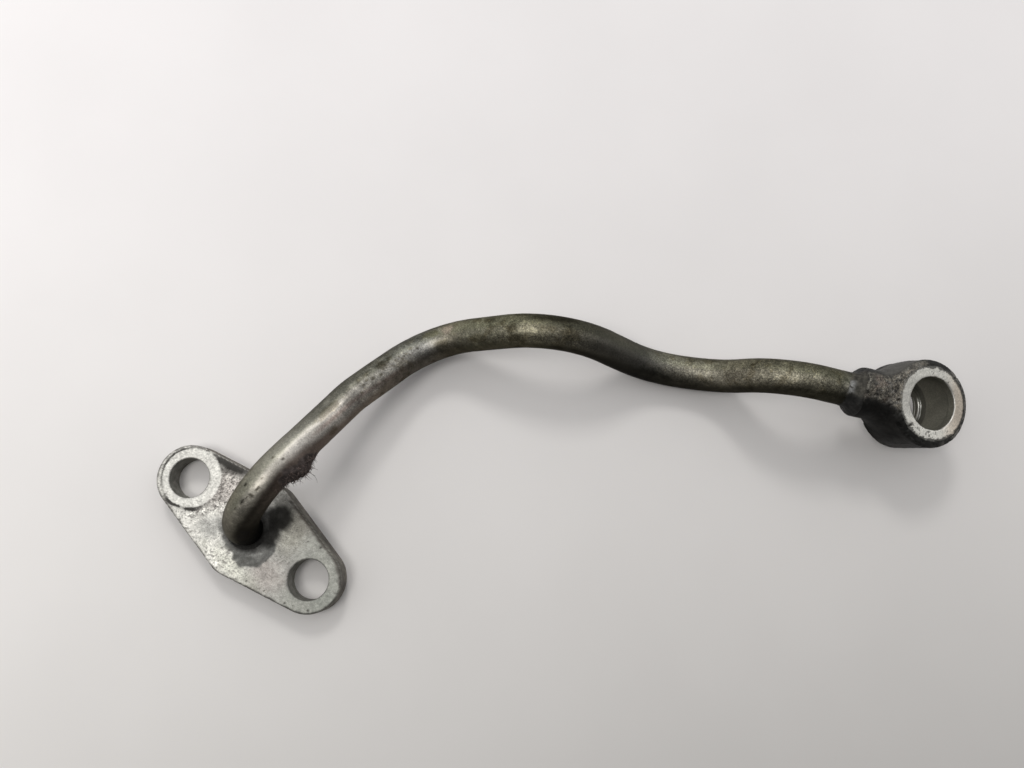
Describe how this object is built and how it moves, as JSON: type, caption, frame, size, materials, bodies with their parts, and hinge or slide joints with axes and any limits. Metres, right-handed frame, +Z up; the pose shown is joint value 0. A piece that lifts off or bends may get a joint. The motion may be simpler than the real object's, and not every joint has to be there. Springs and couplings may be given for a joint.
{
  "type": "turbo oil line",
  "caption": "Rigid bent steel oil pipe with a rhombic bolt-on flange brazed to one end and a banjo eye brazed to the other, for feeding oil to a turbocharger.",
  "frame": {"origin": "centre of the oil port on the flange's sealing face", "axes": "+Z up along the port axis, away from the sealing face; +X along the line of the bolt holes; the pipe leaves over the flange's +Y side"},
  "size_m": [0.1427, 0.1429, 0.0257],
  "materials": {
    "flange_steel": "worn, pitted, grimy, dull silver-grey",
    "tube_steel": "satin, oil-stained brown-grey",
    "eye_steel": "soot-black forged skin, bright machined seat faces",
    "flange_filler": "dark, flux-stained braze filler",
    "neck_filler": "dark, sooty braze filler"
  },
  "bodies": {
    "root": {"flange": "flange_steel", "oil_tube": "tube_steel", "banjo_eye": "eye_steel", "flange_braze": "flange_filler", "neck_braze": "neck_filler"}
  },
  "joints": []
}
